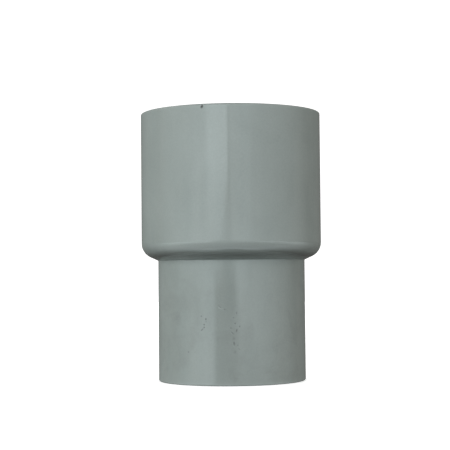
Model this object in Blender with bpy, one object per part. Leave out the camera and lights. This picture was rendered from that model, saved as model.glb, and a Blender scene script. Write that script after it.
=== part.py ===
"""Eccentric push-fit pipe reducer for a 63 mm pipe (top) and a 50 mm pipe (bottom).

One moulded body holds two sockets whose axes are offset, so that the outside and the
waterway run straight down the back (+Y) and step at the front (-Y). Each mouth holds a
rubber lip seal with a stiffener ring in its heel, kept in by a snap-in retaining ring.
Everything is in metres. The origin is on the large socket's axis, at the small mouth.
"""

import math
from typing import NamedTuple

import bmesh
import bpy
from mathutils import Matrix

# Driving dimensions
LARGE_PIPE_RADIUS = 0.0315
SMALL_PIPE_RADIUS = 0.0250
HEIGHT = 0.1110
SHOULDER_BOTTOM = 0.0502
SHOULDER_TOP = 0.0572
SHOULDER_ANGLE = math.radians(65)  # of the cone seen from the front, from the axis
LARGE_STOP_DEPTH = 0.0505
SMALL_STOP_DEPTH = 0.0460
PIPE_WALL = 0.0030
AXIS_OFFSET = LARGE_PIPE_RADIUS - SMALL_PIPE_RADIUS

# A socket's radii, as distances outside the pipe's surface
BORE_OUT = 0.00025
CHAMBER_OUT = 0.0031
GROOVE_OUT = 0.0037
WALL_OUT = 0.0057

# A socket's depths below its mouth
MOUTH_CHAMFER = 0.0004
MOUTH_ROUND = 0.0006
RING_TOP = 0.0004
RING_BOTTOM = 0.0074
SNAP_DEPTH = 0.0042
SNAP_HALF_WIDTH = 0.0009
SEAL_TOP = 0.0077
SEAL_BOTTOM = 0.0147
CHAMBER_DEPTH = 0.0150

# The parts that lie in a socket's chamber, as distances outside the pipe's surface
INSERT_OUT = 0.0028  # outer face of the seal and of the retaining ring
BEAD_OUT = 0.0034
RING_BORE_OUT = 0.0003
LEAD_IN_OUT = 0.0019
LEAD_IN_DEPTH = 0.0032
CORNER = 0.0002
HEEL_GROOVE_OUT = (0.0010, 0.0023)
HEEL_GROOVE_BOTTOM = 0.0113
STIFFENER_GAP = 0.00025
LIP_INTERFERENCE = 0.0011

# Pry notches in the retaining ring's face
NOTCHES = 3
NOTCH_WIDTH = 0.0050
NOTCH_BOTTOM = 0.0016
NOTCH_INNER_OUT = 0.0015

SEGMENTS = 64
ROUND_STEPS = 3
SHOULDER_STEPS = 7
FLAT_SHADE_OVER = math.radians(25)
WELD_DISTANCE = 0.000002

# Name: base colour, roughness
MATERIALS = {
    "grey_pvc": ((0.36, 0.41, 0.39, 1.0), 0.35),
    "retaining_ring_grey": ((0.30, 0.34, 0.33, 1.0), 0.45),
    "black_rubber": ((0.02, 0.02, 0.02, 1.0), 0.60),
    "white_stiffener": ((0.70, 0.70, 0.67, 1.0), 0.50),
}


class Station(NamedTuple):
    """One circle of a lofted wall: its radius, its centre's y and its height."""

    radius: float
    centre_y: float
    z: float


def clear_scene():
    for obj in list(bpy.data.objects):
        bpy.data.objects.remove(obj, do_unlink=True)


def material(name):
    found = bpy.data.materials.get(name)
    if found:
        return found
    colour, roughness = MATERIALS[name]
    made = bpy.data.materials.new(name)
    made.use_nodes = True
    shader = made.node_tree.nodes["Principled BSDF"]
    shader.inputs["Base Color"].default_value = colour
    shader.inputs["Roughness"].default_value = roughness
    shader.inputs["Metallic"].default_value = 0.0
    return made


def add_object(name, bm, material_name):
    """Turns a bmesh into a linked, smooth-shaded object and frees the bmesh."""
    bmesh.ops.recalc_face_normals(bm, faces=bm.faces)
    mesh = bpy.data.meshes.new(name)
    bm.to_mesh(mesh)
    bm.free()
    mesh.shade_smooth()
    mesh.set_sharp_from_angle(angle=FLAT_SHADE_OVER)
    mesh.materials.append(material(material_name))
    obj = bpy.data.objects.new(name, mesh)
    bpy.context.scene.collection.objects.link(obj)
    return obj


def loft(stations):
    """A closed tube wall through the stations, the last of which joins the first."""
    bm = bmesh.new()
    first = stations[0]
    centre = Matrix.Translation((0, first.centre_y, first.z))
    bmesh.ops.create_circle(bm, segments=SEGMENTS, radius=first.radius, matrix=centre)
    edges = bm.edges[:]
    for last, station in zip(stations, stations[1:] + stations[:1]):
        grown = bmesh.ops.extrude_edge_only(bm, edges=edges)["geom"]
        verts = [item for item in grown if isinstance(item, bmesh.types.BMVert)]
        edges = [
            item
            for item in grown
            if isinstance(item, bmesh.types.BMEdge) and item.is_boundary
        ]
        scale = station.radius / last.radius
        from_last = Matrix.Translation((0, -last.centre_y, -last.z))
        to_station = Matrix.Translation((0, station.centre_y, station.z))
        resize = Matrix.Diagonal((scale, scale, 1, 1))
        bmesh.ops.transform(bm, matrix=to_station @ resize @ from_last, verts=verts)
    bmesh.ops.remove_doubles(bm, verts=bm.verts, dist=WELD_DISTANCE)
    return bm


def spin(outline):
    """A ring with this closed outline of (radius, z) points, turned about the Z axis."""
    bm = bmesh.new()
    verts = [bm.verts.new((radius, 0, z)) for radius, z in outline]
    edges = [bm.edges.new(pair) for pair in zip(verts, verts[1:] + verts[:1])]
    bmesh.ops.spin(
        bm,
        geom=verts + edges,
        cent=(0, 0, 0),
        axis=(0, 0, 1),
        angle=math.tau,
        steps=SEGMENTS,
        use_merge=True,
    )
    return bm


def round_edge(radius, mouth_z, inwards):
    """The rounded outer edge of a mouth, from its end face to its wall, as (radius, z)."""
    points = []
    for step in range(ROUND_STEPS + 1):
        turn = math.radians(90) * step / ROUND_STEPS
        points.append(
            (
                radius - MOUTH_ROUND * (1 - math.sin(turn)),
                mouth_z + inwards * MOUTH_ROUND * (1 - math.cos(turn)),
            )
        )
    return points


def shoulder():
    """(share of the step, height) up the shoulder: a cone, then a round corner."""
    step = AXIS_OFFSET
    height = SHOULDER_TOP - SHOULDER_BOTTOM
    corner = (height - step / math.tan(SHOULDER_ANGLE)) / math.tan(SHOULDER_ANGLE / 2)
    points = [(0.0, SHOULDER_BOTTOM)]
    for index in range(SHOULDER_STEPS + 1):
        turn = SHOULDER_ANGLE * (1 - index / SHOULDER_STEPS)
        points.append(
            (
                1 - corner * (1 - math.cos(turn)) / step,
                SHOULDER_TOP - corner * math.sin(turn),
            )
        )
    return points


def outer_wall():
    """The outside, from the small mouth's end face up to the large mouth's."""
    small = SMALL_PIPE_RADIUS + WALL_OUT
    large = LARGE_PIPE_RADIUS + WALL_OUT
    stations = [Station(r, AXIS_OFFSET, z) for r, z in round_edge(small, 0.0, 1)]
    for share, z in shoulder():
        stations.append(
            Station(small + (large - small) * share, AXIS_OFFSET * (1 - share), z)
        )
    stations += [Station(r, 0.0, z) for r, z in reversed(round_edge(large, HEIGHT, -1))]
    return stations


def socket_wall(pipe_radius, centre_y, mouth_z, inwards, stop_depth):
    """A socket's inside, from its mouth down to the inner edge of its pipe stop."""
    chamber = pipe_radius + CHAMBER_OUT
    groove = pipe_radius + GROOVE_OUT
    bore = pipe_radius + BORE_OUT
    outline = [
        (chamber + MOUTH_CHAMFER, 0.0),
        (chamber, MOUTH_CHAMFER),
        (chamber, SNAP_DEPTH - SNAP_HALF_WIDTH),
        (groove, SNAP_DEPTH - SNAP_HALF_WIDTH + CORNER),
        (groove, SNAP_DEPTH + SNAP_HALF_WIDTH - CORNER),
        (chamber, SNAP_DEPTH + SNAP_HALF_WIDTH),
        (chamber, CHAMBER_DEPTH),
        (bore, CHAMBER_DEPTH),
        (bore, stop_depth),
        (pipe_radius - PIPE_WALL, stop_depth),
    ]
    return [Station(r, centre_y, mouth_z + inwards * depth) for r, depth in outline]


def reducer_body():
    small_socket = socket_wall(SMALL_PIPE_RADIUS, AXIS_OFFSET, 0.0, 1, SMALL_STOP_DEPTH)
    large_socket = socket_wall(LARGE_PIPE_RADIUS, 0.0, HEIGHT, -1, LARGE_STOP_DEPTH)
    # The waterway's oblique cone runs from one stop's inner edge to the other's.
    inner_wall = large_socket + small_socket[::-1]
    return add_object("reducer_body", loft(outer_wall() + inner_wall), "grey_pvc")


def ring_outline(pipe_radius):
    """The retaining ring: a lead-in cone inside and a snap bead outside."""
    outer = pipe_radius + INSERT_OUT
    bead = pipe_radius + BEAD_OUT
    bore = pipe_radius + RING_BORE_OUT
    bead_half = SNAP_HALF_WIDTH * 2 / 3
    return [
        (pipe_radius + LEAD_IN_OUT, -RING_TOP),
        (outer - CORNER, -RING_TOP),
        (outer, -RING_TOP - CORNER),
        (outer, -SNAP_DEPTH + bead_half),
        (bead, -SNAP_DEPTH + bead_half / 2),
        (bead, -SNAP_DEPTH - bead_half / 2),
        (outer, -SNAP_DEPTH - bead_half),
        (outer, -RING_BOTTOM),
        (bore, -RING_BOTTOM),
        (bore, -LEAD_IN_DEPTH),
    ]


def notch_cutter(name, pipe_radius):
    """Boxes over the ring's outer top edge, where a blade can lift it out, from +Y round."""
    inner = pipe_radius + NOTCH_INNER_OUT
    length = WALL_OUT
    bm = bmesh.new()
    for index in range(NOTCHES):
        turn = Matrix.Rotation(math.tau * index / NOTCHES, 4, "Z")
        place = Matrix.Translation((0, inner + length / 2, 0))
        size = Matrix.Diagonal((NOTCH_WIDTH, length, 2 * NOTCH_BOTTOM, 1))
        bmesh.ops.create_cube(bm, size=1, matrix=turn @ place @ size)
    cutter = add_object(name, bm, "retaining_ring_grey")
    cutter.hide_render = True
    cutter.display_type = "WIRE"
    return cutter


def retaining_ring(prefix, pipe_radius):
    ring = add_object(
        prefix + "_retaining_ring",
        spin(ring_outline(pipe_radius)),
        "retaining_ring_grey",
    )
    cutter = notch_cutter(prefix + "_notch_cutter", pipe_radius)
    cutter.parent = ring
    cut = ring.modifiers.new("pry_notches", "BOOLEAN")
    cut.operation = "DIFFERENCE"
    cut.object = cutter
    return ring


def lip_seal(prefix, pipe_radius):
    """A heel with a groove for the stiffener, and a lip that the pipe pushes aside."""
    groove_in, groove_out = HEEL_GROOVE_OUT
    chamfer = 0.0003
    lip_tip = -LIP_INTERFERENCE
    outline = [
        (INSERT_OUT - chamfer, SEAL_BOTTOM),
        (INSERT_OUT, SEAL_BOTTOM - chamfer),
        (INSERT_OUT, SEAL_TOP + chamfer),
        (INSERT_OUT - chamfer, SEAL_TOP),
        (groove_out, SEAL_TOP),
        (groove_out, HEEL_GROOVE_BOTTOM),
        (groove_in, HEEL_GROOVE_BOTTOM),
        (groove_in, SEAL_TOP),
        (0.0006, SEAL_TOP),
        (0.0002, 0.0082),
        (lip_tip + 0.0001, 0.0129),
        (lip_tip, 0.0135),
        (lip_tip + 0.0004, 0.0139),
        (lip_tip + 0.0008, 0.0136),
        (0.00035, 0.0118),
        (0.00065, 0.0122),
        (0.0009, 0.0144),
        (0.0012, SEAL_BOTTOM),
    ]
    turned = [(pipe_radius + out, -depth) for out, depth in outline]
    return add_object(prefix + "_lip_seal", spin(turned), "black_rubber")


def stiffener(prefix, pipe_radius):
    """The plain ring that keeps the seal's heel round."""
    groove_in, groove_out = HEEL_GROOVE_OUT
    inner = pipe_radius + groove_in + STIFFENER_GAP
    outer = pipe_radius + groove_out - STIFFENER_GAP
    bottom = -HEEL_GROOVE_BOTTOM + STIFFENER_GAP
    outline = [(inner, -SEAL_TOP), (outer, -SEAL_TOP), (outer, bottom), (inner, bottom)]
    return add_object(prefix + "_seal_stiffener", spin(outline), "white_stiffener")


def mouth_parts(prefix, pipe_radius, location, turn):
    """The three rings of one mouth, modelled below z = 0 and set in place by an empty."""
    mouth = bpy.data.objects.new(prefix + "_mouth", None)
    bpy.context.scene.collection.objects.link(mouth)
    mouth.location = location
    mouth.rotation_euler = (turn, 0, 0)
    for make in (retaining_ring, lip_seal, stiffener):
        make(prefix, pipe_radius).parent = mouth


def main():
    clear_scene()
    reducer_body()
    mouth_parts("large", LARGE_PIPE_RADIUS, (0, 0, HEIGHT), 0.0)
    mouth_parts("small", SMALL_PIPE_RADIUS, (0, AXIS_OFFSET, 0), math.pi)


main()
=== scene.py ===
"""Looks of the eccentric push-fit pipe reducer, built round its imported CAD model.

Each CAD piece is replaced by a finer mesh of the same size, with rounded edges and a
procedural material. Everything is in metres, in the CAD's frame: +Z is up along the
pipes, +Y is the flush back and -Y the stepped front. An azimuth of 0 is the front (-Y),
and azimuths grow towards +X.
"""

import math
from typing import NamedTuple

import bmesh
import bpy
from mathutils import Euler, Matrix, Vector

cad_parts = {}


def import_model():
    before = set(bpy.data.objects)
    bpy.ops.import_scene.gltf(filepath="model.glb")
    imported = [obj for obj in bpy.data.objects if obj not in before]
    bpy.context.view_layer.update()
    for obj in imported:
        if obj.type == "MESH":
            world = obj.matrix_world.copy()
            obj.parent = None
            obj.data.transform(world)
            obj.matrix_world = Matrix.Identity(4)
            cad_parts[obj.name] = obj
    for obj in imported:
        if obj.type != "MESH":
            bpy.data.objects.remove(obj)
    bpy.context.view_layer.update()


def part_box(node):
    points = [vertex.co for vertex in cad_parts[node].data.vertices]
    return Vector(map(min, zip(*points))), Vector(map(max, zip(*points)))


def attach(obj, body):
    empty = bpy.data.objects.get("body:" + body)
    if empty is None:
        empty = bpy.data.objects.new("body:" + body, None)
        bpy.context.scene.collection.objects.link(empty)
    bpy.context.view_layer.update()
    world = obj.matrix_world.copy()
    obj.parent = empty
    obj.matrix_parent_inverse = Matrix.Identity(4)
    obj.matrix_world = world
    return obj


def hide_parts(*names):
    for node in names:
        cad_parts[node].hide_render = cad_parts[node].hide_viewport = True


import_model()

MM = 0.001

# Sizes read from the CAD's boxes
BODY_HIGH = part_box("reducer_body")[1]
HEIGHT = BODY_HIGH.z
LARGE_OUTER = BODY_HIGH.x


class Mouth(NamedTuple):
    """One end of the body, and which way its socket goes in from there."""

    prefix: str
    axis_y: float
    face_z: float
    inwards: int
    pipe_radius: float
    ring_top: float
    ring_bottom: float
    seal_top: float
    seal_bottom: float
    stop_depth: float


# Distances outside the pipe's surface, the same at both mouths
INSERT_OUT = 2.8 * MM
CHAMBER_OUT = 3.1 * MM
GROOVE_OUT = 3.7 * MM
BEAD_OUT = 3.4 * MM
BORE_OUT = 0.25 * MM
RING_BORE_OUT = 0.3 * MM
LEAD_IN_OUT = 1.9 * MM
HEEL_GROOVE_OUT = (1.0 * MM, 2.3 * MM)
LIP_INTERFERENCE = 1.1 * MM

# Depths below a mouth's face, the same at both mouths
SNAP_DEPTH = 4.2 * MM
SNAP_HALF_WIDTH = 0.9 * MM
LEAD_IN_DEPTH = 3.2 * MM
HEEL_GROOVE_BOTTOM = 11.3 * MM
CHAMBER_DEPTH = 15.0 * MM
PIPE_WALL = 3.0 * MM
NOTCHES = 3
NOTCH_WIDTH = 5.0 * MM
NOTCH_BOTTOM = 1.6 * MM
NOTCH_INNER_OUT = 1.5 * MM
NOTCH_LENGTH = 5.0 * MM
NOTCH_ROUND = 0.25 * MM


def read_mouth(prefix, face_z, inwards, stop_depth):
    """A mouth's sizes, from the boxes of its seal and its retaining ring."""
    seal_low, seal_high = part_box(prefix + "_lip_seal")
    ring_low, ring_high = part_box(prefix + "_retaining_ring")
    seal_depths = sorted((abs(seal_low.z - face_z), abs(seal_high.z - face_z)))
    ring_depths = sorted((abs(ring_low.z - face_z), abs(ring_high.z - face_z)))
    return Mouth(
        prefix=prefix,
        axis_y=(seal_low.y + seal_high.y) / 2,
        face_z=face_z,
        inwards=inwards,
        pipe_radius=(seal_high.x - seal_low.x) / 2 - INSERT_OUT,
        ring_top=ring_depths[0],
        ring_bottom=ring_depths[1],
        seal_top=seal_depths[0],
        seal_bottom=seal_depths[1],
        stop_depth=stop_depth,
    )


LARGE = read_mouth("large", HEIGHT, -1, 50.5 * MM)
SMALL = read_mouth("small", 0.0, 1, 46.0 * MM)
OFFSET = SMALL.axis_y - LARGE.axis_y
SMALL_OUTER = LARGE_OUTER - OFFSET

# The shoulder between the two tubes
SHOULDER_BOTTOM = 50.2 * MM
SHOULDER_TOP = 57.2 * MM
SHOULDER_ANGLE = math.radians(65)
CREASE_ROUND = 0.3 * MM
SHOULDER_RUN_IN = 3.0 * MM
SHOULDER_RUN_OUT = 12.0 * MM

# How finely the meshes are cut
SEGMENTS = 192
ARC_STEP = math.radians(12)
SUPPORT = 0.25 * MM
SPAN = 6.0 * MM
SHARP_OVER = math.radians(40)

# The mould's parting line, a faint ridge down both sides of the body
PARTING_RIDGE = 0.06 * MM
PARTING_HALF_WIDTH = 0.25 * MM


# ---------------------------------------------------------------- mesh building


class Station(NamedTuple):
    """One circle of a skin: its radius, its centre's y, its height, and whether it shows
    the parting line."""

    radius: float
    centre_y: float
    z: float
    outside: bool = False


def fillet_reaches(corners, closed):
    """How far each corner's fillet eats into the edges beside it."""
    reaches = []
    last = len(corners) - 1
    for index, (radius, z, fillet) in enumerate(corners):
        if fillet == 0 or (not closed and index in (0, last)):
            reaches.append(0.0)
            continue
        before = Vector(corners[index - 1][:2]) - Vector((radius, z))
        after = Vector(corners[(index + 1) % len(corners)][:2]) - Vector((radius, z))
        room = 0.95 * min(before.length, after.length)
        reaches.append(min(fillet / math.tan(before.angle(after) / 2), room))
    return reaches


def rounded(corners, closed=False):
    """The points of an outline of (radius, z, fillet) corners, each fillet as an arc with
    a point just outside each of its ends, which keeps the flats beside it flat."""
    points = []
    reaches = fillet_reaches(corners, closed)
    for index, (radius, z, _) in enumerate(corners):
        corner = Vector((radius, z))
        reach = reaches[index]
        if reach == 0:
            points.append(corner)
            continue
        beyond = (index + 1) % len(corners)
        before = Vector(corners[index - 1][:2]) - corner
        after = Vector(corners[beyond][:2]) - corner
        free_before = (before.length - reach - reaches[index - 1]) / 3
        free_after = (after.length - reach - reaches[beyond]) / 3
        inside = before.angle(after)
        before.normalize()
        after.normalize()
        start = corner + before * reach
        end = corner + after * reach
        centre = corner + (before + after).normalized() * reach / math.cos(inside / 2)
        turn = math.pi - inside
        steps = max(2, math.ceil(turn / ARC_STEP))
        points.append(start + before * min(SUPPORT, free_before))
        for step in range(steps + 1):
            share = step / steps
            out_of_start = (start - centre) * math.sin((1 - share) * turn)
            out_of_end = (end - centre) * math.sin(share * turn)
            points.append(centre + (out_of_start + out_of_end) / math.sin(turn))
        points.append(end + after * min(SUPPORT, free_after))
    return points


def with_spans(stations):
    """The stations, with more between any two that are far apart in height."""
    filled = []
    for here, there in zip(stations, stations[1:]):
        pieces = max(1, math.ceil(abs(there.z - here.z) / SPAN))
        for piece in range(pieces):
            share = piece / pieces
            filled.append(
                Station(
                    here.radius + (there.radius - here.radius) * share,
                    here.centre_y + (there.centre_y - here.centre_y) * share,
                    here.z + (there.z - here.z) * share,
                    here.outside and there.outside,
                )
            )
    return filled + [stations[-1]]


def turns(parting=False):
    """The angles round a skin, with narrow columns for the parting line's two ridges."""
    angles = [math.tau * index / SEGMENTS for index in range(SEGMENTS)]
    if parting:
        half = PARTING_HALF_WIDTH / LARGE_OUTER
        angles += [side + lean for side in (0, math.pi) for lean in (-half, half)]
    return sorted(angle % math.tau for angle in angles)


def on_parting_line(angle):
    return abs(math.sin(angle)) < 1e-6


def skin(stations, parting=False):
    """A closed skin through the stations, the last of which joins the first."""
    bm = bmesh.new()
    angles = turns(parting)
    rings = []
    for station in stations:
        ring = []
        for angle in angles:
            radius = station.radius
            if parting and station.outside and on_parting_line(angle):
                radius += PARTING_RIDGE
            ring.append(
                bm.verts.new(
                    (
                        radius * math.cos(angle),
                        station.centre_y + radius * math.sin(angle),
                        station.z,
                    )
                )
            )
        rings.append(ring)
    count = len(angles)
    for lower, upper in zip(rings, rings[1:] + rings[:1]):
        for index in range(count):
            beyond = (index + 1) % count
            bm.faces.new((lower[index], lower[beyond], upper[beyond], upper[index]))
    bmesh.ops.recalc_face_normals(bm, faces=bm.faces)
    return bm


def add_piece(name, bm, material, node):
    """Links a bmesh as a smooth-shaded piece that stands for a CAD node."""
    mesh = bpy.data.meshes.new(name)
    bm.to_mesh(mesh)
    bm.free()
    mesh.shade_smooth()
    mesh.set_sharp_from_angle(angle=SHARP_OVER)
    mesh.materials.append(material)
    piece = bpy.data.objects.new(name, mesh)
    bpy.context.scene.collection.objects.link(piece)
    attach(piece, "root")
    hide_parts(node)
    return piece


# ---------------------------------------------------------------- the body


def mouth_stations(mouth, outer):
    """From the pipe stop's inner edge, out of the socket and round the rim to the wall."""
    bore = mouth.pipe_radius + BORE_OUT
    chamber = mouth.pipe_radius + CHAMBER_OUT
    groove = mouth.pipe_radius + GROOVE_OUT
    waterway = mouth.pipe_radius - PIPE_WALL
    groove_top = SNAP_DEPTH - SNAP_HALF_WIDTH
    groove_bottom = SNAP_DEPTH + SNAP_HALF_WIDTH
    corners = [
        (waterway, mouth.stop_depth + 1.0 * MM, 0),
        (waterway, mouth.stop_depth, 0.5 * MM),
        (bore, mouth.stop_depth, 0.4 * MM),
        (bore, CHAMBER_DEPTH, 0.4 * MM),
        (chamber, CHAMBER_DEPTH, 0.3 * MM),
        (chamber, groove_bottom, 0.15 * MM),
        (groove, groove_bottom, 0.15 * MM),
        (groove, groove_top, 0.15 * MM),
        (chamber, groove_top, 0.15 * MM),
        (chamber, 0, 0.45 * MM),
        (outer, 0, 0.7 * MM),
        (outer, 3.0 * MM, 0),
    ]
    rim_middle = (chamber + outer) / 2
    return [
        Station(
            point.x,
            mouth.axis_y,
            mouth.face_z + mouth.inwards * point.y,
            outside=point.x > rim_middle,
        )
        for point in rounded(corners)
    ]


def shoulder_stations():
    """Up the cone, whose radius grows as fast as its centre comes back to the axis."""
    cone_top = SHOULDER_BOTTOM + OFFSET / math.tan(SHOULDER_ANGLE)
    fillet = (SHOULDER_TOP - cone_top) / math.tan(SHOULDER_ANGLE / 2)
    corners = [
        (0, SHOULDER_BOTTOM - SHOULDER_RUN_IN, 0),
        (0, SHOULDER_BOTTOM, CREASE_ROUND),
        (OFFSET, cone_top, fillet),
        (OFFSET, cone_top + SHOULDER_RUN_OUT, 0),
    ]
    return [
        Station(SMALL_OUTER + step, SMALL.axis_y - step, z, outside=True)
        for step, z in rounded(corners)
    ]


def reducer_body(material):
    small = mouth_stations(SMALL, SMALL_OUTER)
    large = mouth_stations(LARGE, LARGE_OUTER)
    # The waterway's oblique cone closes the skin, from one stop to the other.
    stations = with_spans(small + shoulder_stations() + large[::-1] + small[:1])[:-1]
    bm = skin(stations, parting=True)
    add_piece("body_moulding", bm, material, "reducer_body")


# ---------------------------------------------------------------- the rings


def turned(mouth, corners):
    """A ring with this closed outline of (distance outside the pipe, depth, fillet)."""
    outline = [
        (mouth.pipe_radius + out, mouth.face_z + mouth.inwards * depth, fillet)
        for out, depth, fillet in corners
    ]
    points = rounded(outline, closed=True)
    return skin([Station(point.x, mouth.axis_y, point.y) for point in points])


def cut_notches(piece, mouth):
    """Three pry notches in the ring's outer top edge, cut with boxes and then applied."""
    bm = bmesh.new()
    inner = mouth.pipe_radius + NOTCH_INNER_OUT
    facing = Matrix.Translation((0, mouth.axis_y, mouth.face_z))
    # The small mouth's notches start half a turn round from the large one's.
    first = math.pi if mouth is SMALL else 0
    for index in range(NOTCHES):
        turn = Matrix.Rotation(math.tau * index / NOTCHES + first, 4, "Z")
        place = Matrix.Translation((0, inner + NOTCH_LENGTH / 2, 0))
        size = Matrix.Diagonal((NOTCH_WIDTH, NOTCH_LENGTH, 2 * NOTCH_BOTTOM, 1))
        made = bmesh.ops.create_cube(bm, size=1, matrix=facing @ turn @ place @ size)
        bmesh.ops.bevel(
            bm,
            geom=list({edge for vert in made["verts"] for edge in vert.link_edges}),
            offset=NOTCH_ROUND,
            segments=3,
            profile=0.5,
            affect="EDGES",
        )
    mesh = bpy.data.meshes.new("notch_cutter")
    bm.to_mesh(mesh)
    bm.free()
    cutter = bpy.data.objects.new("notch_cutter", mesh)
    bpy.context.scene.collection.objects.link(cutter)
    cut = piece.modifiers.new("pry_notches", "BOOLEAN")
    cut.operation = "DIFFERENCE"
    cut.solver = "EXACT"
    cut.object = cutter
    bpy.context.view_layer.update()
    evaluated = piece.evaluated_get(bpy.context.evaluated_depsgraph_get())
    piece.data = bpy.data.meshes.new_from_object(evaluated)
    piece.modifiers.clear()
    bpy.data.objects.remove(cutter)
    piece.data.shade_smooth()
    piece.data.set_sharp_from_angle(angle=SHARP_OVER)


def retaining_ring(mouth, material):
    bead_half = SNAP_HALF_WIDTH * 2 / 3
    corners = [
        # The top, and the bead that snaps into the body's groove
        (LEAD_IN_OUT, mouth.ring_top, 0.25 * MM),
        (INSERT_OUT, mouth.ring_top, 0.3 * MM),
        (INSERT_OUT, SNAP_DEPTH - bead_half, 0.15 * MM),
        (BEAD_OUT, SNAP_DEPTH - bead_half / 2, 0.2 * MM),
        (BEAD_OUT, SNAP_DEPTH + bead_half / 2, 0.2 * MM),
        (INSERT_OUT, SNAP_DEPTH + bead_half, 0.15 * MM),
        # The bottom, the bore and the lead-in back to the top
        (INSERT_OUT, mouth.ring_bottom, 0.2 * MM),
        (RING_BORE_OUT, mouth.ring_bottom, 0.2 * MM),
        (RING_BORE_OUT, LEAD_IN_DEPTH, 0.8 * MM),
    ]
    name = mouth.prefix + "_ring_snap_in"
    node = mouth.prefix + "_retaining_ring"
    bm = turned(mouth, corners)
    piece = add_piece(name, bm, material, node)
    cut_notches(piece, mouth)


def lip_seal(mouth, material):
    groove_in, groove_out = HEEL_GROOVE_OUT
    top = mouth.seal_top
    bottom = mouth.seal_bottom
    tip = -LIP_INTERFERENCE
    corners = [
        # The heel's outside, and the groove in its top that holds the stiffener
        (INSERT_OUT, bottom, 0.4 * MM),
        (INSERT_OUT, top, 0.4 * MM),
        (groove_out, top, 0.08 * MM),
        (groove_out, HEEL_GROOVE_BOTTOM, 0.1 * MM),
        (groove_in, HEEL_GROOVE_BOTTOM, 0.1 * MM),
        (groove_in, top, 0.08 * MM),
        # The lip, which slopes in past the pipe's surface, and its underside
        (0.45 * MM, top, 0.25 * MM),
        (tip, 13.1 * MM, 0.3 * MM),
        (tip + 0.3 * MM, 13.9 * MM, 0.25 * MM),
        (tip + 0.8 * MM, 13.6 * MM, 0.15 * MM),
        (0.5 * MM, 11.8 * MM, 0.25 * MM),
        (0.9 * MM, bottom, 0.25 * MM),
    ]
    node = mouth.prefix + "_lip_seal"
    bm = turned(mouth, corners)
    add_piece(mouth.prefix + "_seal_rubber", bm, material, node)


def stiffener(mouth, material):
    gap = 0.25 * MM
    inner = HEEL_GROOVE_OUT[0] + gap
    outer = HEEL_GROOVE_OUT[1] - gap
    corners = [
        (inner, mouth.seal_top, 0.15 * MM),
        (outer, mouth.seal_top, 0.15 * MM),
        (outer, HEEL_GROOVE_BOTTOM - gap, 0.15 * MM),
        (inner, HEEL_GROOVE_BOTTOM - gap, 0.15 * MM),
    ]
    name = mouth.prefix + "_stiffener_ring"
    node = mouth.prefix + "_seal_stiffener"
    add_piece(name, turned(mouth, corners), material, node)


# ---------------------------------------------------------------- materials


class Graph:
    """A material's node tree, with short ways to add the nodes used here."""

    def __init__(self, name, **shader_inputs):
        self.material = bpy.data.materials.new(name)
        self.material.use_nodes = True
        self.tree = self.material.node_tree
        self.shader = self.tree.nodes["Principled BSDF"]
        for key, value in shader_inputs.items():
            self.shader.inputs[key.replace("_", " ")].default_value = value
        self.place = self.tree.nodes.new("ShaderNodeTexCoord").outputs["Object"]

    def node(self, kind, inputs, **settings):
        """Adds a node; each input is a value, or another node's output to link."""
        node = self.tree.nodes.new(kind)
        for key, value in settings.items():
            setattr(node, key, value)
        for key, value in inputs.items():
            if isinstance(value, bpy.types.NodeSocket):
                self.tree.links.new(value, node.inputs[key])
            else:
                node.inputs[key].default_value = value
        return node

    def stretched(self, scale):
        return self.node(
            "ShaderNodeMapping", {"Vector": self.place, "Scale": scale}
        ).outputs[0]

    def noise(self, scale, detail=2.0, roughness=0.5, distortion=0.0, vector=None):
        return self.node(
            "ShaderNodeTexNoise",
            {
                "Vector": vector or self.place,
                "Scale": scale,
                "Detail": detail,
                "Roughness": roughness,
                "Distortion": distortion,
            },
        ).outputs["Fac"]

    def remap(self, value, low, high, to_low=0.0, to_high=1.0):
        return self.node(
            "ShaderNodeMapRange",
            {
                "Value": value,
                "From Min": low,
                "From Max": high,
                "To Min": to_low,
                "To Max": to_high,
            },
        ).outputs[0]

    def math(self, operation, first, second=0.0):
        return self.node(
            "ShaderNodeMath", {0: first, 1: second}, operation=operation
        ).outputs[0]

    def mix(self, share, first, second):
        node = self.tree.nodes.new("ShaderNodeMix")
        node.data_type = "RGBA"
        node.clamp_factor = True
        sockets = {"Factor_Float": share, "A_Color": first, "B_Color": second}
        for identifier, value in sockets.items():
            socket = next(s for s in node.inputs if s.identifier == identifier)
            if isinstance(value, bpy.types.NodeSocket):
                self.tree.links.new(value, socket)
            else:
                socket.default_value = value
        return next(s for s in node.outputs if s.identifier == "Result_Color")

    def along(self, axis):
        return self.node("ShaderNodeSeparateXYZ", {"Vector": self.place}).outputs[axis]

    def height(self):
        return self.along("Z")

    def near_height(self, z, reach):
        """1 at this height, falling to 0 at reach above or below it."""
        away = self.math("ABSOLUTE", self.math("SUBTRACT", self.height(), z))
        return self.remap(away, 0.0, reach, 1.0, 0.0)

    def bump(self, value, distance, strength, under=None):
        inputs = {"Height": value, "Distance": distance, "Strength": strength}
        if under is not None:
            inputs["Normal"] = under
        return self.node("ShaderNodeBump", inputs).outputs[0]

    def edge_gloss(self, edge_level):
        """The specular level of a worn surface, less glossy where it is seen edge on."""
        facing = self.node("ShaderNodeLayerWeight", {"Blend": 0.5}).outputs["Facing"]
        return self.remap(facing, 0.45, 0.9, 0.5, edge_level)

    def to_shader(self, **sockets):
        for key, value in sockets.items():
            self.tree.links.new(value, self.shader.inputs[key.replace("_", " ")])


class Mark(NamedTuple):
    """A nick or spot on the front: where it is, its size, its lean and how dark it is."""

    x: float
    z: float
    width: float
    length: float
    lean: float
    darkness: float


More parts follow.
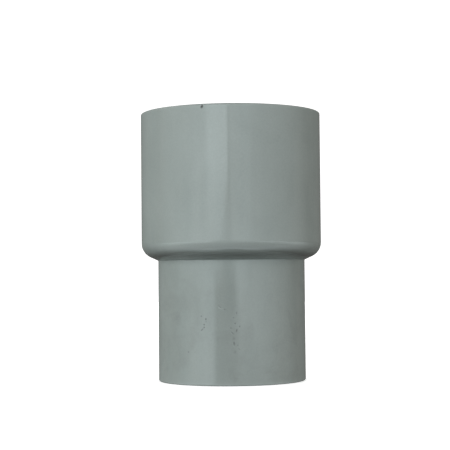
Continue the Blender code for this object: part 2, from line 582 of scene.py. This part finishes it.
# Chips, scratches and smudges on the front, in millimetres and degrees
MARKS = [
    Mark(-11.0, 109.8, 1.15, 1.7, 28, 1.0),
    Mark(-12.2, 27.7, 0.8, 0.9, 0, 0.35),
    Mark(-10.4, 26.6, 0.75, 1.0, 0, 0.6),
    Mark(-10.3, 25.6, 0.6, 0.9, 0, 0.25),
    Mark(-11.1, 24.4, 0.7, 0.8, 0, 0.55),
    Mark(-11.1, 23.3, 0.7, 0.8, 0, 0.55),
    Mark(-11.9, 22.4, 0.55, 1.8, 45, 0.5),
    Mark(0.6, 27.1, 0.8, 0.8, 0, 0.25),
    Mark(1.2, 24.8, 0.9, 0.7, 0, 0.5),
    Mark(3.0, 23.6, 0.7, 0.9, 0, 0.4),
    Mark(-0.5, 23.0, 0.9, 0.8, 0, 0.35),
    Mark(0.1, 21.1, 0.6, 1.6, -45, 0.35),
    Mark(1.8, 22.0, 0.75, 1.6, 15, 0.6),
    Mark(0.7, 18.9, 1.2, 1.6, 0, 0.2),
    Mark(0.8, 16.9, 0.85, 1.9, -5, 0.65),
    Mark(2.2, 16.2, 0.7, 0.9, 0, 0.25),
    Mark(2.8, 14.7, 0.6, 1.4, -40, 0.25),
    Mark(1.1, 13.6, 1.2, 1.6, 0, 0.2),
    Mark(1.8, 28.9, 0.8, 1.2, 0, 0.3),
    Mark(-4.8, 31.4, 0.8, 2.0, -45, 0.3),
    Mark(-2.9, 30.3, 0.7, 1.0, 0, 0.3),
    Mark(-17.5, 13.4, 0.7, 0.8, 0, 0.3),
    Mark(-21.9, 26.5, 5.0, 6.5, 0, 0.11),
    Mark(-23.5, 23.0, 11.0, 17.0, 10, 0.05),
]


def mark_mask(graph, mark):
    """A soft-edged ellipse on the front wall, as dark as the mark is."""
    on_large = mark.z * MM > SHOULDER_BOTTOM
    outer = LARGE_OUTER if on_large else SMALL_OUTER
    axis_y = LARGE.axis_y if on_large else SMALL.axis_y
    x = mark.x * MM
    y = axis_y - math.sqrt(outer**2 - x**2)
    spot = graph.node(
        "ShaderNodeMapping",
        {
            "Vector": graph.place,
            "Location": (x, y, mark.z * MM),
            "Rotation": (0, math.radians(mark.lean), 0),
            "Scale": (mark.width * MM / 2, 2 * MM, mark.length * MM / 2),
        },
        vector_type="TEXTURE",
    ).outputs[0]
    out = graph.node("ShaderNodeVectorMath", {0: spot}, operation="LENGTH")
    return graph.remap(out.outputs["Value"], 0.4, 1.2, mark.darkness, 0.0)


def all_marks(graph):
    masks = [mark_mask(graph, mark) for mark in MARKS]
    total = masks[0]
    for mask in masks[1:]:
        total = graph.math("MAXIMUM", total, mask)
    return total


# Where painted shade darkens the crease under the shoulder, and where it fades out towards
# the back
CREASE_SHADE_RISE = 1.4 * MM
CREASE_SHADE_REACH = 1.8 * MM
CREASE_SHADE_FADE = (8 * MM, 26 * MM)
# Wear reaches this far from each rim, and handling marks are full this far below the
# shoulder
RIM_WEAR_REACH = 1.6 * MM
HANDLING_FADE = 8 * MM


def pvc_material():
    """Grey-green PVC: cloudy, finely grained, scuffed at the mouths and nicked, with
    painted shade in the crease under the shoulder.
    """
    graph = Graph("grey_green_pvc", IOR=1.5)
    cloud = graph.noise(38, detail=3, distortion=0.4)
    streak = graph.noise(170, detail=2, vector=graph.stretched((1, 1, 0.12)))
    grain = graph.noise(1500, detail=2, roughness=0.6)
    blotch = graph.noise(75, detail=4, roughness=0.62, distortion=0.6)

    light = (0.375, 0.425, 0.412, 1)
    deep = (0.325, 0.372, 0.358, 1)
    pale_streak = (0.41, 0.45, 0.43, 1)
    dark_speck = (0.2, 0.23, 0.22, 1)
    hand_grime = (0.2, 0.215, 0.2, 1)
    # Painted shade: the dark colour laid into the crease under the shoulder
    crease_painted_shade = (0.14, 0.15, 0.14, 1)
    scuffed = (0.5, 0.54, 0.52, 1)
    nicked = (0.035, 0.03, 0.028, 1)

    colour = graph.mix(graph.remap(cloud, 0.3, 0.7), deep, light)
    colour = graph.mix(graph.remap(streak, 0.35, 0.75, 0.0, 0.35), colour, pale_streak)
    colour = graph.mix(graph.remap(grain, 0.35, 0.75, 0.0, 0.16), colour, dark_speck)

    # Handling marks gather on the small tube.
    handled = SHOULDER_BOTTOM - HANDLING_FADE
    below = graph.remap(graph.height(), SHOULDER_BOTTOM, handled)
    smudge = graph.math("MULTIPLY", graph.remap(blotch, 0.5, 0.72), below)
    smudge_share = graph.math("MULTIPLY", smudge, 0.22)
    colour = graph.mix(smudge_share, colour, hand_grime)

    # Painted shade: the crease under the shoulder is darkened where shade falls.
    crease = graph.near_height(SHOULDER_BOTTOM + CREASE_SHADE_RISE, CREASE_SHADE_REACH)
    crease_shade_share = graph.math("MULTIPLY", crease, graph.remap(blotch, 0.2, 0.7, 0.6, 0.9))
    # The step dies away towards the flush back, and the painted shade under it too.
    stepped = graph.remap(graph.along("Y"), *CREASE_SHADE_FADE, 1.0, 0.0)
    crease_shade_share = graph.math("MULTIPLY", crease_shade_share, stepped)
    colour = graph.mix(crease_shade_share, colour, crease_painted_shade)

    rims = graph.math(
        "MAXIMUM",
        graph.near_height(HEIGHT, RIM_WEAR_REACH),
        graph.near_height(0.0, RIM_WEAR_REACH),
    )
    worn = graph.math("MULTIPLY", rims, graph.remap(grain, 0.4, 0.65, 0.0, 0.35))
    colour = graph.mix(worn, colour, scuffed)

    marks = all_marks(graph)
    colour = graph.mix(marks, colour, nicked)

    roughness = graph.remap(blotch, 0.3, 0.7, 0.07, 0.1)
    roughness = graph.math("ADD", roughness, graph.math("MULTIPLY", worn, 0.5))
    roughness = graph.math("ADD", roughness, graph.math("MULTIPLY", marks, 0.4))

    normal = graph.bump(cloud, 0.2 * MM, 0.3)
    normal = graph.bump(grain, 0.004 * MM, 0.5, under=normal)
    normal = graph.bump(graph.math("SUBTRACT", 1.0, marks), 0.12 * MM, 0.6, under=normal)
    gloss = graph.edge_gloss(0.04)
    graph.to_shader(
        Base_Color=colour, Roughness=roughness, Specular_IOR_Level=gloss, Normal=normal
    )
    return graph.material


def ring_material():
    """Satin plastic with a spark-eroded mould grain and faint moulding swirls."""
    graph = Graph("satin_ring_plastic", IOR=1.49)
    swirl = graph.noise(110, detail=3, distortion=1.2)
    grain = graph.noise(2200, detail=2, roughness=0.65)
    colour = graph.mix(
        graph.remap(swirl, 0.3, 0.7), (0.235, 0.27, 0.262, 1), (0.3, 0.335, 0.325, 1)
    )
    colour = graph.mix(
        graph.remap(grain, 0.4, 0.7, 0.0, 0.25), colour, (0.17, 0.19, 0.185, 1)
    )
    roughness = graph.remap(grain, 0.3, 0.7, 0.38, 0.52)
    normal = graph.bump(grain, 0.02 * MM, 0.8)
    graph.to_shader(Base_Color=colour, Roughness=roughness, Normal=normal)
    return graph.material


def rubber_material():
    """Black rubber with a dry bloom and fine moulding rings."""
    graph = Graph("black_seal_rubber", IOR=1.52)
    bloom = graph.noise(260, detail=4, roughness=0.6)
    grain = graph.noise(3200, detail=2)
    rings = graph.node(
        "ShaderNodeTexWave",
        {"Vector": graph.place, "Scale": 420, "Distortion": 0.6, "Detail": 1.0},
        bands_direction="Z",
    ).outputs["Fac"]
    colour = graph.mix(
        graph.remap(bloom, 0.45, 0.75), (0.014, 0.014, 0.015, 1), (0.05, 0.05, 0.05, 1)
    )
    roughness = graph.remap(bloom, 0.3, 0.7, 0.48, 0.68)
    normal = graph.bump(rings, 0.03 * MM, 0.5)
    normal = graph.bump(grain, 0.015 * MM, 0.7, under=normal)
    graph.to_shader(Base_Color=colour, Roughness=roughness, Normal=normal)
    return graph.material


def stiffener_material():
    """Plain off-white plastic, slightly cloudy."""
    graph = Graph("white_stiffener_plastic", IOR=1.49)
    cloud = graph.noise(140, detail=3)
    grain = graph.noise(2400, detail=2)
    colour = graph.mix(
        graph.remap(cloud, 0.3, 0.7), (0.6, 0.59, 0.55, 1), (0.72, 0.71, 0.67, 1)
    )
    roughness = graph.remap(grain, 0.3, 0.7, 0.4, 0.55)
    normal = graph.bump(grain, 0.015 * MM, 0.6)
    graph.to_shader(Base_Color=colour, Roughness=roughness, Normal=normal)
    return graph.material


# ---------------------------------------------------------------- studio

STUDIO_RADIUS = 1.3
REFLECTOR_STEPS = 16
COVE_RADIUS = 4.0
COVE_HEIGHT = 5.0
COVE_BEND = 1.2
COVE_STEPS = 96
FLOOR_DROP = 0.05 * MM
# The strength of the world's light from below and from above
WORLD_LIGHT = (0.11, 0.33)


def on_ring(azimuth, distance, z):
    """The point at this azimuth in degrees and distance from the body's axis."""
    turn = math.radians(azimuth)
    return Vector((distance * math.sin(turn), -distance * math.cos(turn), z))


def stage_object(name, bm, material):
    mesh = bpy.data.meshes.new(name)
    bm.to_mesh(mesh)
    bm.free()
    mesh.shade_smooth()
    mesh.materials.append(material)
    obj = bpy.data.objects.new(name, mesh)
    bpy.context.scene.collection.objects.link(obj)
    return obj


def cove_material():
    """Pale matt paper, lit evenly, that lets the camera see up through it from below."""
    graph = Graph("pale_paper", Roughness=0.9)
    fibre = graph.noise(900, detail=3)
    colour = graph.mix(
        graph.remap(fibre, 0.3, 0.7), (0.86, 0.86, 0.86, 1), (0.9, 0.9, 0.9, 1)
    )
    from_axis = graph.node(
        "ShaderNodeVectorMath", {0: graph.stretched((1, 1, 0))}, operation="LENGTH"
    ).outputs["Value"]
    glow = graph.remap(from_axis, 0.1, 0.9, 0.7, 1.1)
    graph.to_shader(Base_Color=colour, Emission_Color=colour, Emission_Strength=glow)
    tree = graph.tree
    clear = tree.nodes.new("ShaderNodeBsdfTransparent")
    sides = tree.nodes.new("ShaderNodeNewGeometry")
    either = tree.nodes.new("ShaderNodeMixShader")
    output = tree.nodes["Material Output"]
    tree.links.new(sides.outputs["Backfacing"], either.inputs["Fac"])
    tree.links.new(graph.shader.outputs[0], either.inputs[1])
    tree.links.new(clear.outputs[0], either.inputs[2])
    tree.links.new(either.outputs[0], output.inputs["Surface"])
    return graph.material


def cove():
    """A round paper floor that curves up into a wall. It shows to the camera alone and
    lights nothing, so that the shoulder's underside stays dark."""
    outline = [
        (0.0, -FLOOR_DROP, 0),
        (COVE_RADIUS, -FLOOR_DROP, COVE_BEND),
        (COVE_RADIUS, COVE_HEIGHT, 0),
    ]
    bm = bmesh.new()
    verts = [bm.verts.new((point.x, 0, point.y)) for point in rounded(outline)]
    edges = [bm.edges.new(pair) for pair in zip(verts, verts[1:])]
    bmesh.ops.spin(
        bm,
        geom=verts + edges,
        cent=(0, 0, 0),
        axis=(0, 0, 1),
        angle=math.tau,
        steps=COVE_STEPS,
        use_merge=True,
    )
    bmesh.ops.remove_doubles(bm, verts=bm.verts, dist=0.1 * MM)
    bmesh.ops.recalc_face_normals(bm, faces=bm.faces)
    centre_face = min(bm.faces, key=lambda face: face.calc_center_median().length)
    if centre_face.normal.z < 0:
        bmesh.ops.reverse_faces(bm, faces=bm.faces)
    sheet = stage_object("studio_cove", bm, cove_material())
    sheet.visible_diffuse = False
    sheet.visible_glossy = False
    sheet.visible_shadow = False


class Row(NamedTuple):
    """One height of a reflector: the azimuths where it starts to show, is full from, is
    full to and has faded out, and how bright it is when full."""

    z: float
    starts: float
    full_from: float
    full_to: float
    ends: float
    glow: float
    distance: float = STUDIO_RADIUS


def level_rows(z, full_from, full_to, fade_from, fade_to, stops):
    """A level card's rows, one for each (distance, glow) in stops, far to near."""
    return [
        Row(z, fade_from, full_from, full_to, fade_to, glow, distance)
        for distance, glow in stops
    ]


COOL = (0.88, 1.0, 1.02)
WARM = (1.0, 0.99, 0.96)

# A big window to the left, seen far round by the large tube and less by the small one
WINDOW = [
    Row(-0.300, -100, -42, -30, -22, 2.0),
    Row(0.041, -100, -42, -30, -22, 2.4),
    Row(0.048, -100, -42, -14, -2, 2.5),
    Row(0.090, -100, -42, -14, -2, 2.4),
    Row(0.190, -100, -42, -4, -2, 2.5),
    Row(0.900, -100, -42, -4, -2, 2.5),
]
# A brighter pane at the window's near edge, which makes the large tube's bright band
PANE = [
    Row(0.090, -36, -24, -16, -8, 0.4),
    Row(0.190, -34, -26, -4, -2, 1.3),
    Row(0.900, -34, -26, -4, -2, 1.3),
]
# A pale wall to the right
WALL = [
    Row(-0.300, 4, 16, 45, 110, 0.8),
    Row(-0.100, 4, 16, 45, 110, 1.0),
    Row(-0.050, 4, 14, 45, 110, 1.9),
    Row(0.041, 3, 13, 40, 110, 2.3),
    Row(0.048, -12, 0, 40, 110, 2.3),
    Row(0.090, -12, 0, 30, 110, 2.1),
    Row(0.190, -4, -1, 30, 110, 1.5),
    Row(0.260, -4, -1, 30, 110, 1.9),
    Row(0.900, -4, -1, 30, 110, 1.9),
]
# A lighter strip of that wall, close to the middle
DOORWAY = [
    Row(0.020, 4, 8, 22, 27, 0.5),
    Row(0.190, -3, -2, 24, 26, 0.5),
    Row(0.900, -3, -2, 24, 26, 0.5),
]
# What little light fills the dark strip between the window and the wall
HAZE = [
    Row(-0.200, -32, -22, 4, 16, 0.0),
    Row(-0.110, -32, -22, 4, 16, 0.5),
    Row(-0.050, -32, -22, 4, 16, 0.9),
    Row(0.041, -32, -22, 4, 16, 0.5),
    Row(0.047, -32, -22, 4, 16, 0.0),
]
# A pale table top and the light below its edge, which the shoulder's round reflects
TABLE = level_rows(
    -0.12,
    full_from=-80,
    full_to=80,
    fade_from=-135,
    fade_to=135,
    stops=[
        (STUDIO_RADIUS, 0.8),
        (0.60, 0.8),
        (0.36, 0.8),
        (0.22, 1.4),
        (0.08, 1.7),
        (0.04, 2.2),
        (0.01, 0.0),
    ],
)
APRON = [
    Row(-0.14, -110, -80, 90, 120, 0.0),
    Row(-0.20, -110, -80, 90, 120, 1.1),
    Row(-0.45, -110, -80, 90, 120, 1.1),
    Row(-0.80, -110, -80, 90, 120, 0.0),
]
# A faint room all round
SURROUND = [Row(z, -180, -179, 179, 180, 0.12) for z in (-1.5, 1.8)]

CARDS = {
    "window_card": (WINDOW, COOL),
    "pane_card": (PANE, COOL),
    "wall_card": (WALL, COOL),
    "doorway_card": (DOORWAY, COOL),
    "haze_card": (HAZE, COOL),
    "table_card": (TABLE, COOL),
    "apron_card": (APRON, COOL),
    "surround_card": (SURROUND, WARM),
}


def reflector(name, rows, colour):
    """A glowing curved card that shows only as a soft reflection in the gloss."""
    bm = bmesh.new()
    strength = bm.verts.layers.float.new("glow")
    lines = []
    for row in rows:
        stops = [
            (row.starts, 0.0),
            (row.full_from, row.glow),
            (row.full_to, row.glow),
            (row.ends, 0.0),
        ]
        line = []
        for (here, glow_here), (there, glow_there) in zip(stops, stops[1:]):
            for step in range(REFLECTOR_STEPS + 1):
                share = step / REFLECTOR_STEPS
                azimuth = here + (there - here) * share
                vert = bm.verts.new(on_ring(azimuth, row.distance, row.z))
                vert[strength] = glow_here + (glow_there - glow_here) * share
                line.append(vert)
        lines.append(line)
    for lower, upper in zip(lines, lines[1:]):
        for index in range(len(lower) - 1):
            bm.faces.new(
                (lower[index], lower[index + 1], upper[index + 1], upper[index])
            )
    glow = bpy.data.materials.new(name)
    glow.use_nodes = True
    glow.cycles.emission_sampling = "NONE"
    tree = glow.node_tree
    tree.nodes.remove(tree.nodes["Principled BSDF"])
    emission = tree.nodes.new("ShaderNodeEmission")
    emission.inputs["Color"].default_value = (*colour, 1)
    level = tree.nodes.new("ShaderNodeAttribute")
    level.attribute_name = "glow"
    clear = tree.nodes.new("ShaderNodeBsdfTransparent")
    both = tree.nodes.new("ShaderNodeAddShader")
    output = tree.nodes["Material Output"]
    tree.links.new(level.outputs["Fac"], emission.inputs["Strength"])
    tree.links.new(emission.outputs[0], both.inputs[0])
    tree.links.new(clear.outputs[0], both.inputs[1])
    tree.links.new(both.outputs[0], output.inputs["Surface"])
    card = stage_object(name, bm, glow)
    card.visible_camera = False
    card.visible_diffuse = False
    card.visible_shadow = False


class Light(NamedTuple):
    """A square soft box: its azimuth and elevation in degrees, distance, side, power in
    watts and colour."""

    azimuth: float
    elevation: float
    distance: float
    size: float
    power: float
    colour: tuple


LIGHTS = {
    "key": Light(-30, 10, 1.6, 1.0, 7.8, (0.95, 1.0, 1.0)),
    "left": Light(-100, 10, 1.6, 1.0, 10.5, (0.98, 1.0, 0.99)),
    "front": Light(2, 8, 1.6, 0.8, 3.9, (0.97, 1.0, 1.0)),
    "side": Light(100, 8, 1.6, 1.0, 7.2, (1.0, 0.97, 0.92)),
    "back": Light(-176, 12, 1.4, 1.0, 6.0, (1.0, 1.0, 1.0)),
    "top": Light(0, 85, 1.8, 1.0, 6.0, (1.0, 1.0, 1.0)),
}


def soft_light(name, light):
    """An area light aimed at the middle of the body, which the gloss doesn't reflect."""
    data = bpy.data.lights.new(name, "AREA")
    data.shape = "SQUARE"
    data.size = light.size
    data.energy = light.power
    data.color = light.colour
    obj = bpy.data.objects.new(name, data)
    bpy.context.scene.collection.objects.link(obj)
    middle = Vector((0, 0, HEIGHT / 2))
    rise = math.radians(light.elevation)
    level = on_ring(light.azimuth, light.distance * math.cos(rise), 0)
    obj.location = middle + level + Vector((0, 0, light.distance * math.sin(rise)))
    aim = middle - obj.location
    obj.rotation_euler = aim.to_track_quat("-Z", "Y").to_euler()
    obj.visible_camera = False
    obj.visible_glossy = False


def world():
    """Soft light from all round, dimmer from below, that the gloss doesn't reflect."""
    made = bpy.data.worlds.new("studio")
    made.use_nodes = True
    made.cycles_visibility.glossy = False
    tree = made.node_tree
    background = tree.nodes["Background"]
    background.inputs["Color"].default_value = (1.0, 0.985, 0.955, 1)
    direction = tree.nodes.new("ShaderNodeTexCoord")
    split = tree.nodes.new("ShaderNodeSeparateXYZ")
    rise = tree.nodes.new("ShaderNodeMapRange")
    rise.inputs["From Min"].default_value = -0.2
    rise.inputs["From Max"].default_value = 0.2
    rise.inputs["To Min"].default_value = WORLD_LIGHT[0]
    rise.inputs["To Max"].default_value = WORLD_LIGHT[1]
    tree.links.new(direction.outputs["Generated"], split.inputs[0])
    tree.links.new(split.outputs["Z"], rise.inputs["Value"])
    tree.links.new(rise.outputs[0], background.inputs["Strength"])
    bpy.context.scene.world = made


def studio():
    world()
    cove()
    for name, light in LIGHTS.items():
        soft_light(name, light)
    for name, (rows, colour) in CARDS.items():
        reflector(name, rows, colour)


# ---------------------------------------------------------------- camera

# In metres, millimetres for the lens, and degrees
CAMERA_DISTANCE = 0.540
CAMERA_HEIGHT = 0.0450
CAMERA_LENS = 103.95
CAMERA_PITCH = 2.1
CAMERA_YAW = 0.27
CAMERA_ROLL = 0.5


def camera():
    data = bpy.data.cameras.new("camera")
    data.sensor_width = 36
    data.lens = CAMERA_LENS
    data.clip_start = 0.02
    data.clip_end = 50
    obj = bpy.data.objects.new("camera", data)
    bpy.context.scene.collection.objects.link(obj)
    obj.location = (0, -CAMERA_DISTANCE, CAMERA_HEIGHT)
    look = Euler(
        (math.radians(90 + CAMERA_PITCH), 0, math.radians(CAMERA_YAW))
    ).to_matrix()
    roll = Matrix.Rotation(math.radians(-CAMERA_ROLL), 3, "Z")
    obj.rotation_euler = (look @ roll).to_euler()
    bpy.context.scene.camera = obj


# ---------------------------------------------------------------- the scene


def build():
    reducer_body(pvc_material())
    ring = ring_material()
    rubber = rubber_material()
    white = stiffener_material()
    for mouth in (LARGE, SMALL):
        retaining_ring(mouth, ring)
        lip_seal(mouth, rubber)
        stiffener(mouth, white)


build()
studio()
camera()
bpy.context.scene.view_settings.view_transform = "Standard"
